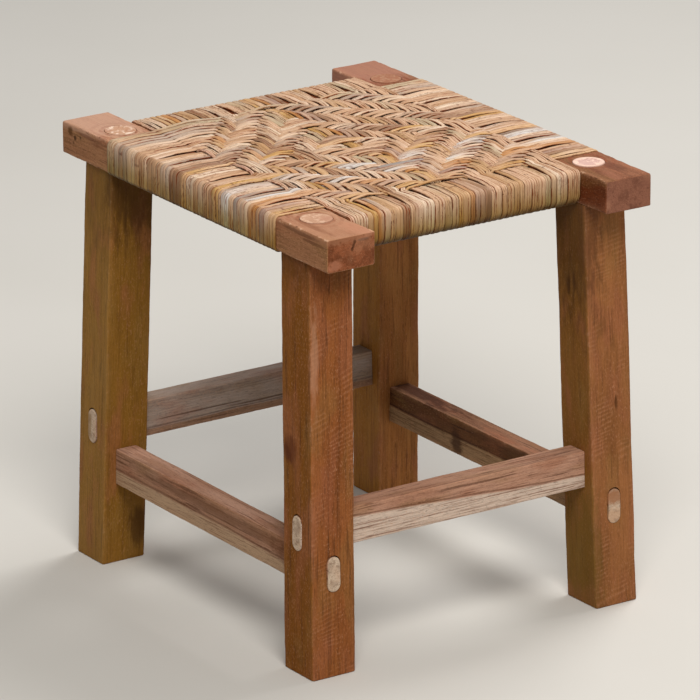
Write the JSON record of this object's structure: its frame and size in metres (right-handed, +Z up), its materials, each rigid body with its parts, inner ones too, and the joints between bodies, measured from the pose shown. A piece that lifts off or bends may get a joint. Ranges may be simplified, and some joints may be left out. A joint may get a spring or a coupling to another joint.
{
  "type": "mudda stool",
  "caption": "Low stool with splayed square legs tenoned through long rails, cross rails, stretchers, and a seat of cane wound round the rails and woven.",
  "frame": {"origin": "on the floor, below the middle of the seat", "axes": "+Z up; +X along the two long rails, from left to right; -Y is the front"},
  "size_m": [0.43, 0.351, 0.4124],
  "materials": {
    "leg_wood": "reddish brown hardwood, sawn and lightly sanded, no varnish",
    "rail_wood": "pinkish brown hardwood, sanded, no varnish",
    "stretcher_wood": "hardwood with reddish heartwood above and pale sapwood below, sanded",
    "cane": "split cane, natural and uneven in tone, with a slight satin sheen"
  },
  "bodies": {
    "root": {"leg_front_left": "leg_wood", "leg_front_right": "leg_wood", "leg_back_left": "leg_wood", "leg_back_right": "leg_wood", "rail_front": "rail_wood", "rail_back": "rail_wood", "cross_rail_left": "rail_wood", "cross_rail_right": "rail_wood", "stretcher_front": "stretcher_wood", "stretcher_back": "stretcher_wood", "stretcher_left": "stretcher_wood", "stretcher_right": "stretcher_wood", "cane_crosswise_1": "cane", "cane_crosswise_2": "cane", "cane_crosswise_3": "cane", "cane_crosswise_4": "cane", "cane_crosswise_5": "cane", "cane_crosswise_6": "cane", "cane_crosswise_7": "cane", "cane_crosswise_8": "cane", "cane_crosswise_9": "cane", "cane_lengthwise_1": "cane", "cane_lengthwise_2": "cane", "cane_lengthwise_3": "cane", "cane_lengthwise_4": "cane", "cane_lengthwise_5": "cane", "cane_lengthwise_6": "cane", "cane_lengthwise_7": "cane", "cane_lengthwise_8": "cane"}
  },
  "joints": []
}
